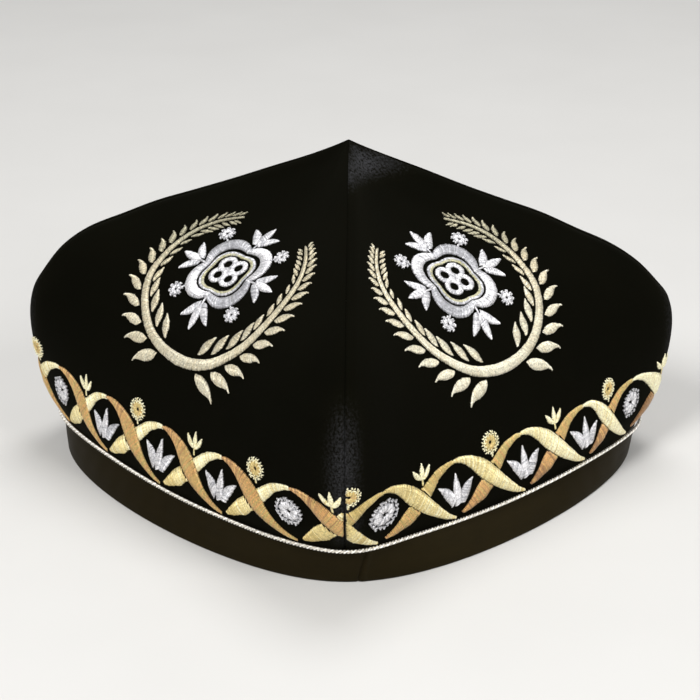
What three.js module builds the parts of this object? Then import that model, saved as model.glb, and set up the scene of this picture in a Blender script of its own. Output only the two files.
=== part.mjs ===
// A four-cornered skullcap: four stiffened velvet gores that meet at a peak, sewn to a plain
// satin band, with a thin cord laid along that seam. Millimetres, +Z up, the rim on Z = 0 and
// the front corner towards -Y.
import * as THREE from "three";

// Driving sizes
const capHeight = 109; // from the rim to the peak
const cornerReach = 109.2; // from the axis to the farthest point of a corner ridge
const bandHeight = 10.6;
const bandWall = 2.4; // satin folded over its stiffening
const bandEdge = 0.5; // bevel of the folded edges of the band
const crownWall = 2.2; // velvet, stiffening and inner cloth together
const seamBulk = 1.5; // wall along a seam, as a share of crownWall: the cloth is turned in there
const cordRadius = 0.75;
const gap = 0.3; // left between neighbouring pieces

// What follows from them
const crownBase = bandHeight + gap; // the height of the crown's lower edge
const crownRise = capHeight - crownBase;

// Facets
const goreColumns = 22;
const goreRows = 22;
const ringSteps = 96;
const cordSides = 6;

// The four corner ridges in turn, seen from above: a worn cap sits a little unevenly. Each stands
// by its lift above the mean ridge and its lower edge by its hem above crownBase, both as shares of
// the crown's rise. Each is turned towards the next by its turn, in quarter turns.
const corners = [
  { name: "front", lift: 0, hem: 0.019, turn: 0.02 },
  { name: "right", lift: -0.014, hem: 0, turn: 0 },
  { name: "back", lift: 0, hem: 0, turn: 0 },
  { name: "left", lift: 0.014, hem: 0, turn: 0 },
];
const hemSpan = 0.5; // how far a corner's hem reaches to each side, in quarter turns
const turnSpan = 0.18; // the same for its turn

// Level sections of the crown, from its lower edge to the peak. height is a share of the way from
// that edge to the peak, and corner a share of cornerReach. sink says how far the sides draw in
// between the corners: 0 leaves a circle, 1 a straight-sided square, and more a side that is hollow.
// softness rounds the corners.
const crownSections = [
  { height: 0, corner: 0.912, sink: 0.61, softness: 0.12 },
  { height: 0.072, corner: 0.952, sink: 0.7, softness: 0.09 },
  { height: 0.154, corner: 0.973, sink: 0.84, softness: 0.07 },
  { height: 0.266, corner: 0.995, sink: 1.02, softness: 0.06 },
  { height: 0.368, corner: 1.0, sink: 1.24, softness: 0.06 },
  { height: 0.45, corner: 0.985, sink: 1.4, softness: 0.06 },
  { height: 0.507, corner: 0.952, sink: 1.49, softness: 0.06 },
  { height: 0.589, corner: 0.888, sink: 1.68, softness: 0.06 },
  { height: 0.653, corner: 0.806, sink: 1.94, softness: 0.06 },
  { height: 0.704, corner: 0.701, sink: 2.1, softness: 0.07 },
  { height: 0.756, corner: 0.595, sink: 2.28, softness: 0.07 },
  { height: 0.797, corner: 0.485, sink: 2.45, softness: 0.08 },
  { height: 0.842, corner: 0.366, sink: 2.55, softness: 0.09 },
  { height: 0.893, corner: 0.243, sink: 2.6, softness: 0.1 },
  { height: 0.942, corner: 0.124, sink: 2.6, softness: 0.12 },
  { height: 1, corner: 0.0, sink: 2.6, softness: 0.15 },
];

// The rim and the upper edge of the band, in the same terms; height is a share of bandHeight, and
// turn is how far, in quarter turns, the corners stand past the seams of the crown.
const bandSections = [
  { height: 0, corner: 0.896, sink: 0.42, softness: 0.29, turn: 0.02 },
  { height: 1, corner: 0.911, sink: 0.61, softness: 0.12, turn: 0 },
];

// The row of a table at a share of its length, with a smooth curve through the rows.
function rowAt(rows, share) {
  const place = THREE.MathUtils.clamp(share, 0, 1) * (rows.length - 1);
  const first = Math.min(Math.floor(place), rows.length - 2);
  const t = place - first;
  const row = (i) => rows[THREE.MathUtils.clamp(i, 0, rows.length - 1)];
  const smooth = (key) => {
    const [a, b, c, d] = [-1, 0, 1, 2].map((step) => row(first + step)[key]);
    const pull = (c - a) / 2;
    const push = (d - b) / 2;
    return (
      b +
      pull * t +
      (3 * (c - b) - 2 * pull - push) * t * t +
      (2 * (b - c) + pull + push) * t * t * t
    );
  };
  return Object.fromEntries(Object.keys(rows[0]).map((key) => [key, smooth(key)]));
}

// The distance from the axis, as a share of the corner's, at an angle from a corner seam.
function drawnIn(angle, { sink, softness }) {
  const soften = (v) => Math.hypot(v, softness) - softness;
  const spread = (soften(Math.cos(angle)) + soften(Math.sin(angle))) / soften(1) - 1;
  return 1 / (1 + sink * spread);
}

// What a corner's own value comes to at an angle: all of it at the corner, none beyond the span.
function ofCorner(key, angle, span) {
  const nearest = Math.round(angle);
  const away = Math.min(1, Math.abs(angle - nearest) / span);
  return corners[(nearest + 4) % 4][key] * Math.cos((away * Math.PI) / 2) ** 2;
}

// Where an angle from the front corner lies, in radians from +X.
const headingOf = (angle, share = 1) =>
  ((angle + share * ofCorner("turn", angle, turnSpan) - 1) * Math.PI) / 2;

// How far the lower edge of the crown stands above crownBase.
const hemOf = (angle) => crownRise * ofCorner("hem", angle, hemSpan);

// A point of the crown's outer face. angle is from the front corner, towards the right one, in
// quarter turns; share runs along the sections.
function crownPoint(angle, share) {
  const turn = Math.floor(angle) % 4;
  const part = ((angle - Math.floor(angle)) * Math.PI) / 2;
  const row = rowAt(crownSections, share);
  const radius = cornerReach * row.corner * drawnIn(part, row);
  const near = Math.max(0, Math.cos(2 * part)) ** 2 * corners[(turn + 4) % 4].lift;
  const far = Math.max(0, -Math.cos(2 * part)) ** 2 * corners[(turn + 5) % 4].lift;
  const sway = Math.sin(Math.PI * THREE.MathUtils.clamp((row.height - 0.36) / 0.64, 0, 1)) ** 2;
  const heading = headingOf(angle);
  const hem = hemOf(angle);
  return new THREE.Vector3(
    radius * Math.cos(heading),
    radius * Math.sin(heading),
    crownBase + hem + (crownRise - hem) * (row.height + (near + far) * sway),
  );
}

// The outward normal of the crown's outer face. On a seam it lies in the plane of the seam.
function crownNormal(angle, share) {
  const step = 1e-3;
  const low = Math.max(share - step, 0);
  const high = Math.min(share + step, 1 - step);
  const along = crownPoint(angle + step, share).sub(crownPoint(angle - step + 4, share));
  const up = crownPoint(angle, high).sub(crownPoint(angle, low));
  return along.cross(up).normalize();
}

// A mesh from corner points and the triangles between them. Triangles with no width are left out.
function solidMesh(name, points, faces, material) {
  const index = faces.filter(([a, b, c]) => a !== b && b !== c && c !== a).flat();
  const geometry = new THREE.BufferGeometry().setFromPoints(points).setIndex(index);
  geometry.computeVertexNormals();
  const mesh = new THREE.Mesh(geometry, material);
  mesh.name = name;
  return mesh;
}

// Two triangles over four corner points, given in order round the outside.
const quad = (a, b, c, d) => [
  [a, b, c],
  [a, c, d],
];

// One gore: the outer face, the inner face one wall below it, and the turned edges between them.
function gore(name, quarter, material) {
  const points = [];
  const place = new Map();
  const [first, second] = [headingOf(quarter), headingOf(quarter + 1)];
  // The directions square to the two seams, into this gore
  const fromSeams = [
    new THREE.Vector3(-Math.sin(first), Math.cos(first), 0),
    new THREE.Vector3(Math.sin(second), -Math.cos(second), 0),
  ];
  const apart = fromSeams[0].clone().add(fromSeams[1]).multiplyScalar(gap / 2);
  const tip = crownPoint(quarter, 1);
  for (let row = 0; row <= goreRows; row++) {
    for (let column = 0; column <= goreColumns; column++) {
      const share = row / goreRows;
      const even = column / goreColumns;
      const across = even - (0.5 * Math.sin(2 * Math.PI * even)) / (2 * Math.PI);
      const angle = quarter + across;
      const seamward = Math.abs(2 * across - 1) ** 3;
      const wall = crownWall * (1 + (seamBulk - 1) * seamward);
      const outer = row === goreRows ? tip.clone() : crownPoint(angle, share);
      const inner =
        row === goreRows
          ? tip.clone().setZ(tip.z - crownWall * seamBulk)
          : outer.clone().addScaledVector(crownNormal(angle, share), -wall);
      for (const away of fromSeams) {
        const least = outer.dot(away) / 2;
        inner.addScaledVector(away, Math.max(0, least - inner.dot(away)));
      }
      if (row < goreRows || column === 0) {
        points.push(outer.add(apart), inner.add(apart));
      }
      place.set(`${row},${column}`, points.length - 2);
    }
  }
  const out = (row, column) => place.get(`${row},${column}`);
  const inn = (row, column) => place.get(`${row},${column}`) + 1;
  const faces = [];
  for (let row = 0; row < goreRows; row++) {
    for (let column = 0; column < goreColumns; column++) {
      const [a, b, c, d] = [[row, column], [row, column + 1], [row + 1, column + 1], [row + 1, column]];
      faces.push(...quad(out(...a), out(...b), out(...c), out(...d)));
      faces.push(...quad(inn(...a), inn(...d), inn(...c), inn(...b)));
    }
    faces.push(...quad(out(row, 0), out(row + 1, 0), inn(row + 1, 0), inn(row, 0)));
    const last = goreColumns;
    faces.push(...quad(out(row, last), inn(row, last), inn(row + 1, last), out(row + 1, last)));
  }
  for (let column = 0; column < goreColumns; column++) {
    faces.push(...quad(out(0, column), inn(0, column), inn(0, column + 1), out(0, column + 1)));
  }
  return solidMesh(name, points, faces, material);
}

// A point of the band's outer face, moved inwards by inset, at a height in millimetres.
function bandPoint(angle, inset, height) {
  const outline = (at) => {
    const [rim, top] = bandSections;
    const share = height / bandHeight;
    const row = Object.fromEntries(
      Object.keys(rim).map((key) => [key, THREE.MathUtils.lerp(rim[key], top[key], share)]),
    );
    const radius = cornerReach * row.corner * drawnIn(((at - row.turn) * Math.PI) / 2, row);
    const heading = headingOf(at, share);
    const raised = height + share * hemOf(at);
    return new THREE.Vector3(radius * Math.cos(heading), radius * Math.sin(heading), raised);
  };
  const along = outline(angle + 1e-3).sub(outline(angle - 1e-3 + 4));
  const inwards = new THREE.Vector3(0, 0, 1).cross(along).normalize();
  return outline(angle).addScaledVector(inwards, inset);
}

// The band: a flat-rimmed strip with bevelled edges, closed on itself.
function band(name, material) {
  const profile = [
    [bandEdge, 0],
    [0, bandEdge],
    [0, bandHeight - bandEdge],
    [bandEdge, bandHeight],
    [bandWall - bandEdge, bandHeight],
    [bandWall, bandHeight - bandEdge],
    [bandWall, bandEdge],
    [bandWall - bandEdge, 0],
  ];
  const points = [];
  const faces = [];
  for (let step = 0; step < ringSteps; step++) {
    for (const [inset, height] of profile) {
      points.push(bandPoint((4 * step) / ringSteps, inset, height));
    }
  }
  const at = (step, i) => (step % ringSteps) * profile.length + (i % profile.length);
  for (let step = 0; step < ringSteps; step++) {
    for (let i = 0; i < profile.length; i++) {
      faces.push(...quad(at(step, i), at(step + 1, i), at(step + 1, i + 1), at(step, i + 1)));
    }
  }
  return solidMesh(name, points, faces, material);
}

// The cord: a round strand on the crown's lower edge, over the seam with the band.
function cord(name, material) {
  class SeamLine extends THREE.Curve {
    getPoint(t, target = new THREE.Vector3()) {
      const firstStep = crownRise * (crownSections[1].height - crownSections[0].height);
      const up = (0.6 * cordRadius) / firstStep / (crownSections.length - 1);
      const angle = 4 * t;
      const out = crownNormal(angle, up).multiplyScalar(cordRadius + 1.5 * gap);
      return target.copy(crownPoint(angle, up)).add(out);
    }
  }
  const geometry = new THREE.TubeGeometry(new SeamLine(), ringSteps, cordRadius, cordSides, true);
  const mesh = new THREE.Mesh(geometry, material);
  mesh.name = name;
  return mesh;
}

const cloth = (color, roughness) => new THREE.MeshStandardMaterial({ color, roughness });
const group = new THREE.Group();
group.add(
  gore("crown_front_right", 0, cloth(0x14120f, 0.95)),
  gore("crown_back_right", 1, cloth(0x14120f, 0.95)),
  gore("crown_back_left", 2, cloth(0x14120f, 0.95)),
  gore("crown_front_left", 3, cloth(0x14120f, 0.95)),
  band("head_band", cloth(0x231c14, 0.55)),
  cord("silver_cord", cloth(0xd5d6dc, 0.4)),
);

export default group;
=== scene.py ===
"""A four-cornered skullcap of black velvet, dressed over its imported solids.

Four velvet gores, a satin band and a twisted silver cord stand in for the plain solids. The
embroidery is laid thread by thread on the velvet: an interlaced border along the lower edge,
and a wreath with a four-lobed flower in the middle of each gore. Lengths are in millimetres
until a mesh is made, with +Z up and the front corner towards -Y.
"""
import logging
import math
from dataclasses import dataclass, field
from enum import Enum
from typing import Callable

import bpy
import numpy as np
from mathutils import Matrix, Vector


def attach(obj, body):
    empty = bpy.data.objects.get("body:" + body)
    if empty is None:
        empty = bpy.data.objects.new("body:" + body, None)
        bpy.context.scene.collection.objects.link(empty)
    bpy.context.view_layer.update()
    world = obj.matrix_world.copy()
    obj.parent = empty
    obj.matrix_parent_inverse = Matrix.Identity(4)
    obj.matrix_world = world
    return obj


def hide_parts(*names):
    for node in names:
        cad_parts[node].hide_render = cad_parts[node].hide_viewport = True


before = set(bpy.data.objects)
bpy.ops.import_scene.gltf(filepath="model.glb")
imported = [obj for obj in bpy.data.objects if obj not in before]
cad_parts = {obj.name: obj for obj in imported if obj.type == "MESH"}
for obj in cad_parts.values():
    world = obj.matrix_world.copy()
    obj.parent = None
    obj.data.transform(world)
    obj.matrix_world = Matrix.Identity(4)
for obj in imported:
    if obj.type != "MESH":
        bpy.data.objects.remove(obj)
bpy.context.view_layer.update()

LOG = logging.getLogger("skullcap")
MM = 0.001
Array = np.ndarray
Object, Material, Socket = bpy.types.Object, bpy.types.Material, bpy.types.NodeSocket
Triple = tuple[float, float, float]
Table = tuple[tuple[float, ...], ...]
Stops = tuple[tuple[float, Triple], ...]


class Quarter(Enum):
    """The four gores, numbered in quarter turns from the front seam towards the right."""

    FRONT_RIGHT = 0
    BACK_RIGHT = 1
    BACK_LEFT = 2
    FRONT_LEFT = 3

    @property
    def label(self) -> str:
        """The gore's name in lower case, as the solids use it."""
        return self.name.lower()


class LeafOutline(Enum):
    """Outlines of the embroidered leaves: share along the leaf, and share of its width there."""

    WREATH = (
        (0, 0.14), (0.1, 0.5), (0.24, 0.88), (0.38, 1.0), (0.54, 0.97), (0.68, 0.74), (0.82, 0.42),
        (0.92, 0.2), (1.0, 0.04),
    )
    SLIM = (
        (0, 0.1), (0.14, 0.4), (0.32, 0.85), (0.5, 1.0), (0.66, 0.86), (0.82, 0.48), (1.0, 0.03),
    )
    SPRIG = (
        (0, 0.25), (0.12, 0.62), (0.3, 0.96), (0.5, 1.0), (0.68, 0.86), (0.84, 0.56), (0.94, 0.28),
        (1.0, 0.05),
    )
    TULIP = (
        (0, 0.6), (0.14, 0.82), (0.32, 0.98), (0.5, 0.98), (0.68, 0.78), (0.84, 0.42), (1.0, 0.04),
    )


@dataclass(frozen=True)
class Leaf:
    """A leaf of a sprig or tulip, measured from its foot."""

    base: tuple[float, float]
    tip: tuple[float, float]
    width: float
    tone: float
    outline: LeafOutline = LeafOutline.SPRIG
    bow: float = 0.0
    rise: float = 0.5


UP = np.array([0.0, 1.0])
TULIP = (
    Leaf((-1.3, 0.9), (-7.1, 8.3), 3.8, 0.95, LeafOutline.TULIP, -0.8),
    Leaf((1.6, 0.5), (7.4, 7.8), 3.8, 0.9, LeafOutline.TULIP, 0.8),
    Leaf((0.1, 0.2), (0.4, 11.1), 3.5, 1.0, LeafOutline.TULIP, rise=0.65),
)
SPRIG = (
    Leaf((0.0, 0.0), (0.1, 5.8), 2.0, 1.05, LeafOutline.SLIM),
    Leaf((-0.2, 0.3), (-3.6, 4.2), 1.9, 1.0, bow=0.35),
    Leaf((0.2, 0.3), (3.4, 4.4), 1.9, 1.0, bow=-0.35),
)
FLOWER_SPRIG = (
    Leaf((0.6, 1.9), (6.2, 8.0), 3.15, 0.9, bow=0.6),
    Leaf((-0.6, 1.9), (-6.2, 8.0), 3.15, 0.9, bow=-0.6),
    Leaf((0.0, 2.5), (0.0, 11.3), 3.35, 0.95, rise=0.6),
)


def smooth_rows(rows: Array, place: Array) -> Array:
    """A smooth curve through the rows of a table.

    Args:
        rows: the table, one row a station.
        place: where on the table, in rows.

    Returns:
        One interpolated row for each place.
    """
    last = len(rows) - 1
    place = np.clip(place, 0, last)
    first = np.minimum(np.floor(place).astype(int), last - 1)
    t = (place - first)[..., None]
    a, b, c, d = (rows[np.clip(first + step, 0, last)] for step in (-1, 0, 1, 2))
    pull, push = (c - a) / 2, (d - b) / 2
    cubic = (3 * (c - b) - 2 * pull - push) * t**2 + (2 * (b - c) + pull + push) * t**3
    return b + pull * t + cubic


def drawn_in(part: Array, sink: Array, softness: Array) -> Array:
    """How far the side of a level section draws in between two corners.

    Args:
        part: angle from the nearer-numbered corner seam, in radians.
        sink: 0 for a round section, 1 for a square one, more for hollow sides.
        softness: rounding of the corners.

    Returns:
        The distance from the axis as a share of the corner's.
    """
    across, along, whole = (
        np.hypot(value, softness) - softness for value in (np.cos(part), np.sin(part), 1.0)
    )
    return 1 / (1 + sink * ((across + along) / whole - 1))


def ripples(waves: Table, heading: Array, share: Array | float = 0.0) -> Array:
    """Sine waves round the cap, added up.

    Args:
        waves: of each its strength, its number round the cap, its climb and its phase.
        heading: angle round the cap, in radians.
        share: share of the way up.

    Returns:
        Their sum.
    """
    return sum(
        strength * np.sin(around * heading + climb * share + phase)
        for strength, around, climb, phase in waves
    )


def run_along(points: Array) -> Array:
    """The length run along a row of points, nought at the first."""
    return np.concatenate([[0], np.cumsum(np.linalg.norm(np.diff(points, axis=0), axis=1))])


def flatten(grid: Array) -> tuple[Array, Array]:
    """Lays a grid of points out flat, row by row.

    Args:
        grid: points, in rows from the lower edge up.

    Returns:
        How far each point lies across its row from the mid-line, and the height of each row.
    """
    steps = np.linalg.norm(np.diff(grid, axis=1), axis=2)
    run = np.concatenate([np.zeros((len(grid), 1)), np.cumsum(steps, 1)], 1)
    middle = grid.shape[1] // 2
    return run - run[:, middle : middle + 1], run_along(grid[:, middle])


def unit(angle: float) -> Array:
    """The direction at an angle on the flat cloth."""
    return np.array([math.cos(angle), math.sin(angle)])


@dataclass(frozen=True)
class CapShape:
    """The outer face of the crown, as level sections from its lower edge to the peak."""

    reach: float = 109.2
    base: float = 10.9
    top: float = 109.0
    sway_from: float = 0.36
    # the seam's groove and the rolls beside it: depth and width, then rise, place and width
    groove: tuple[float, float] = (0.5, 0.55)
    roll: Triple = (0.22, 2.6, 1.4)
    wave: float = 0.135
    waves: Table = ((1.0, 3.0, 9.0, 0.7), (0.7, 7.0, -13.0, 0.0), (0.5, 11.0, 21.0, 2.0))
    waves_from: float = 0.2
    flat_peak: float = 14.0
    # of the front, right, back and left corner
    lifts: tuple[float, ...] = (0.0, -0.014, 0.0, 0.014)
    hems: tuple[float, ...] = (0.019, 0.0, 0.0, 0.0)
    turns: tuple[float, ...] = (0.02, 0.0, 0.0, 0.0)
    hem_span: float = 0.5
    turn_span: float = 0.18
    # height share, corner share, sink, softness
    sections: Table = (
        (0.0, 0.912, 0.61, 0.12), (0.072, 0.952, 0.70, 0.09), (0.154, 0.973, 0.84, 0.07),
        (0.266, 0.995, 1.02, 0.06), (0.368, 1.0, 1.24, 0.06), (0.45, 0.985, 1.40, 0.06),
        (0.507, 0.952, 1.49, 0.06), (0.589, 0.888, 1.68, 0.06), (0.653, 0.806, 1.94, 0.06),
        (0.704, 0.701, 2.1, 0.07), (0.756, 0.595, 2.28, 0.07), (0.797, 0.485, 2.45, 0.08),
        (0.842, 0.366, 2.55, 0.09), (0.893, 0.243, 2.6, 0.10), (0.942, 0.124, 2.6, 0.12),
        (1.0, 0.0, 2.6, 0.15),
    )

    def row(self, share: Array) -> Array:
        """The section at a share of the way from the lower edge to the peak."""
        table = np.array(self.sections)
        return smooth_rows(table, np.asarray(share, float) * (len(table) - 1))

    @staticmethod
    def of_corner(values: tuple[float, ...], angle: Array, span: float) -> Array:
        """What the nearest corner's own value comes to at an angle: none of it beyond the span.

        Args:
            values: the values of the front, right, back and left corner.
            angle: quarter turns from the front seam.
            span: how far a corner's value reaches, in quarter turns.

        Returns:
            The value at each angle.
        """
        nearest = np.rint(angle)
        away = np.minimum(1, np.abs(angle - nearest) / span)
        return np.array(values)[nearest.astype(int) % 4] * np.cos(away * np.pi / 2) ** 2

    def heading(self, angle: Array, share: Array | float = 1.0) -> Array:
        """Where an angle from the front corner lies, in radians from +X."""
        angle = np.asarray(angle, float)
        return (angle + share * self.of_corner(self.turns, angle, self.turn_span) - 1) * np.pi / 2

    def hem(self, angle: Array) -> Array:
        """How far the lower edge of the crown stands above its base."""
        return (self.top - self.base) * self.of_corner(self.hems, angle, self.hem_span)

    def bare(self, angle: Array, share: Array) -> Array:
        """A point of the crown without its seams and waves.

        Args:
            angle: quarter turns from the front seam, towards the right.
            share: share of the way up the sections.

        Returns:
            Points, three values each.
        """
        angle, share = np.broadcast_arrays(np.asarray(angle, float), np.asarray(share, float))
        turn = np.floor(angle)
        part = (angle - turn) * np.pi / 2
        row = self.row(share)
        radius = self.reach * row[..., 1] * drawn_in(part, row[..., 2], row[..., 3])
        lifts, corner = np.array(self.lifts), turn.astype(int)
        near = np.maximum(0, np.cos(2 * part)) ** 2 * lifts[corner % 4]
        far = np.maximum(0, -np.cos(2 * part)) ** 2 * lifts[(corner + 1) % 4]
        climbed = np.clip((row[..., 0] - self.sway_from) / (1 - self.sway_from), 0, 1)
        sway = np.sin(np.pi * climbed) ** 2
        heading, hem = self.heading(angle), self.hem(angle)
        rise = (self.top - self.base - hem) * (row[..., 0] + (near + far) * sway)
        height = self.base + hem + rise
        return np.stack([radius * np.cos(heading), radius * np.sin(heading), height], -1)

    def normal(self, angle: Array, share: Array) -> Array:
        """The outward direction at a point of the bare crown.

        Args:
            angle: quarter turns from the front seam.
            share: share of the way up the sections.

        Returns:
            Directions of length one.
        """
        step = 1e-3
        low, high = np.maximum(share - step, 0), np.minimum(share + step, 1 - step)
        along = self.bare(angle + step, share) - self.bare(angle - step, share)
        up = self.bare(angle, high) - self.bare(angle, low)
        out = np.cross(along, up)
        return out / np.maximum(np.linalg.norm(out, axis=-1, keepdims=True), 1e-9)

    def from_seam(self, angle: Array, share: Array) -> tuple[Array, Array]:
        """How far a point of the bare crown lies from the axis, and from the nearer seam.

        Args:
            angle: quarter turns from the front seam.
            share: share of the way up the sections.

        Returns:
            Both distances, in millimetres.
        """
        at, part = self.bare(angle, share), (angle - np.floor(angle)) * np.pi / 2
        radius = np.hypot(at[..., 0], at[..., 1])
        return radius, radius * np.minimum(np.sin(part), np.cos(part))

    def relief(self, angle: Array, share: Array) -> Array:
        """How far the velvet stands off the bare crown: sewn seams and soft waves.

        Args:
            angle: quarter turns from the front seam.
            share: share of the way up the sections.

        Returns:
            Heights in millimetres, below nought in a seam.
        """
        radius, seam = self.from_seam(angle, share)
        (depth, width), (rise, place, spread) = self.groove, self.roll
        sewn = rise * np.exp(-(((seam - place) / spread) ** 2))
        sewn -= depth * np.exp(-((seam / width) ** 2))
        soft = ripples(self.waves, angle * np.pi / 2, share)
        soft *= self.wave * np.clip(share / self.waves_from, 0, 1)
        return np.clip(radius / self.flat_peak, 0, 1) * (sewn + soft)

    def point(self, angle: Array, share: Array, height: Array | float = 0.0) -> Array:
        """A point on the dressed velvet, or above it by a height."""
        rise = self.relief(angle, share) + height
        return self.bare(angle, share) + self.normal(angle, share) * rise[..., None]


@dataclass
class GoreCloth:
    """A gore as flat cloth: x across from its mid-line, y up the mid-line from its lower edge."""

    shape: CapShape
    quarter: Quarter
    rows: int = 150
    columns: int = 161
    top_share: float = 0.995
    across: Array = field(init=False)
    heights: Array = field(init=False)
    half: Array = field(init=False)
    shares: Array = field(init=False)

    def __post_init__(self) -> None:
        """Measures the gore row by row."""
        self.shares = np.linspace(0, self.top_share, self.rows)
        columns = np.linspace(1e-6, 1 - 1e-6, self.columns)
        run, self.heights = flatten(
            self.shape.bare(self.quarter.value + columns[None, :], self.shares[:, None])
        )
        self.half = np.stack([-run[:, 0], run[:, -1]])
        even = np.linspace(-1, 1, self.columns)
        reach = np.where(even < 0, self.half[0][:, None], self.half[1][:, None])
        self.across = np.array(
            [np.interp(even * far, own, columns) for far, own in zip(reach, run)]
        )

    def locate(self, cloth: Array) -> tuple[Array, Array]:
        """Finds cloth points on the crown.

        Args:
            cloth: points of the flat cloth, two values each.

        Returns:
            The angle in quarter turns and the share of the way up, for each point.
        """
        x, y = cloth[..., 0], cloth[..., 1]
        row = np.interp(y, self.heights, np.arange(self.rows))
        low = np.minimum(row.astype(int), self.rows - 2)
        up, side = row - low, (x > 0).astype(int)
        reach = self.half[side, low] * (1 - up) + self.half[side, low + 1] * up
        column = (np.clip(x / reach, -1, 1) + 1) / 2 * (self.columns - 1)
        left = np.minimum(column.astype(int), self.columns - 2)
        right = column - left
        lower, upper = (
            self.across[at, left] * (1 - right) + self.across[at, left + 1] * right
            for at in (low, low + 1)
        )
        across = np.clip(lower * (1 - up) + upper * up, 1e-4, 1 - 1e-4)
        return self.quarter.value + across, np.interp(y, self.heights, self.shares)

    def place(self, cloth: Array, height: Array) -> Array:
        """Points of the dressed crown at cloth points, raised by a height."""
        angle, share = self.locate(cloth)
        return self.shape.point(angle, share, height)

    def to_seam(self, cloth: Array) -> Array:
        """The distance across the cloth from a point to the nearer seam.

        Args:
            cloth: points of the flat cloth.

        Returns:
            Distances in millimetres, below nought beyond the seam.
        """
        side = (cloth[..., 0] > 0).astype(int)
        reach = [np.interp(cloth[..., 1], self.heights, half) for half in self.half]
        return np.where(side == 0, reach[0], reach[1]) - np.abs(cloth[..., 0])


@dataclass
class NodeDesk:
    """A new node material with the few joins that the finishes share."""

    name: str
    material: Material = field(init=False)
    shader: bpy.types.Node = field(init=False)

    def __post_init__(self) -> None:
        """Makes the material and finds its shader."""
        self.material = bpy.data.materials.new(self.name)
        self.material.use_nodes = True
        self.shader = self.material.node_tree.nodes["Principled BSDF"]

    def node(self, kind: str, **values: object) -> bpy.types.Node:
        """Adds a node and sets its properties.

        Args:
            kind: Blender's name of the node.
            values: its properties.

        Returns:
            The node.
        """
        made = self.material.node_tree.nodes.new(kind)
        for key, value in values.items():
            setattr(made, key, value)
        return made

    def join(self, source: Socket, target: Socket) -> None:
        """Links two sockets."""
        self.material.node_tree.links.new(source, target)

    def fixed(self, **values: object) -> None:
        """Sets the shader's own sockets, named with underscores for blanks."""
        for key, value in values.items():
            self.shader.inputs[key.replace("_", " ")].default_value = value

    def feed(self, socket: str, source: Socket) -> None:
        """Links a value to one of the shader's own sockets."""
        self.join(source, self.shader.inputs[socket])

    def marked(self, name: str) -> Socket:
        """A value that is stored on the points of the piece."""
        return self.node("ShaderNodeAttribute", attribute_name=name).outputs["Fac"]

    def scaled(self, source: Socket, scale: Triple) -> Socket:
        """Coordinates stretched by a scale.

        Args:
            source: the coordinates.
            scale: the scale on each axis.

        Returns:
            The new coordinates.
        """
        mapping = self.node("ShaderNodeMapping")
        mapping.inputs["Scale"].default_value = scale
        self.join(source, mapping.inputs["Vector"])
        return mapping.outputs["Vector"]

    def cloth(self, across: float, along: float) -> Socket:
        """Cloth coordinates of the piece, with so many units a metre each way."""
        source = self.node("ShaderNodeUVMap", uv_map="cloth")
        return self.scaled(source.outputs["UV"], (across, along, 1.0))

    def solid(self, scale: float) -> Socket:
        """Coordinates of the object's own space, scaled."""
        source = self.node("ShaderNodeTexCoord")
        return self.scaled(source.outputs["Object"], (scale, scale, scale))

    def noise(self, where: Socket, detail: float = 3.0, rough: float = 0.55) -> Socket:
        """Noise over given coordinates.

        Args:
            where: the coordinates, with one unit to a blotch.
            detail: how many finer layers it has.
            rough: how strong the finer layers are.

        Returns:
            The noise, from 0 to 1.
        """
        made = self.node("ShaderNodeTexNoise")
        made.inputs["Scale"].default_value = 1.0
        made.inputs["Detail"].default_value = detail
        made.inputs["Roughness"].default_value = rough
        self.join(where, made.inputs["Vector"])
        return made.outputs["Fac"]

    def ramp(self, source: Socket, stops: Stops) -> Socket:
        """A colour ramp over a value.

        Args:
            source: the value.
            stops: places and colours in rising order.

        Returns:
            The colour.
        """
        made = self.node("ShaderNodeValToRGB")
        elements = made.color_ramp.elements
        while len(elements) < len(stops):
            elements.new(0.5)
        for element, (at, colour) in zip(elements, stops):
            element.position = at
            element.color = (*colour, 1.0)
        self.join(source, made.inputs["Fac"])
        return made.outputs["Color"]

    def between(self, source: Socket, low: float, high: float) -> Socket:
        """Spreads a value of 0 to 1 over another range.

        Args:
            source: the value.
            low: what 0 becomes.
            high: what 1 becomes.

        Returns:
            The new value.
        """
        made = self.node("ShaderNodeMapRange")
        made.inputs["To Min"].default_value = low
        made.inputs["To Max"].default_value = high
        self.join(source, made.inputs["Value"])
        return made.outputs["Result"]

    def math(self, kind: str, one: Socket, two: Socket | float) -> Socket:
        """Joins a value with another value or number.

        Args:
            kind: the operation, by Blender's name.
            one: the first value.
            two: the second value or number.

        Returns:
            The result.
        """
        made = self.node("ShaderNodeMath", operation=kind)
        self.join(one, made.inputs[0])
        if isinstance(two, (int, float)):
            made.inputs[1].default_value = two
        else:
            self.join(two, made.inputs[1])
        return made.outputs["Value"]

    def bump(self, height: Socket, strength: float, depth: float) -> None:
        """Raises the surface by a height, over what is raised already.

        Args:
            height: the height, from 0 to 1.
            strength: how much of it shows.
            depth: how deep it is, in metres.
        """
        made = self.node("ShaderNodeBump")
        made.inputs["Strength"].default_value = strength
        made.inputs["Distance"].default_value = depth
        self.join(height, made.inputs["Height"])
        earlier = self.shader.inputs["Normal"]
        if earlier.is_linked:
            self.join(earlier.links[0].from_socket, made.inputs["Normal"])
        self.join(made.outputs["Normal"], earlier)


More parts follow.
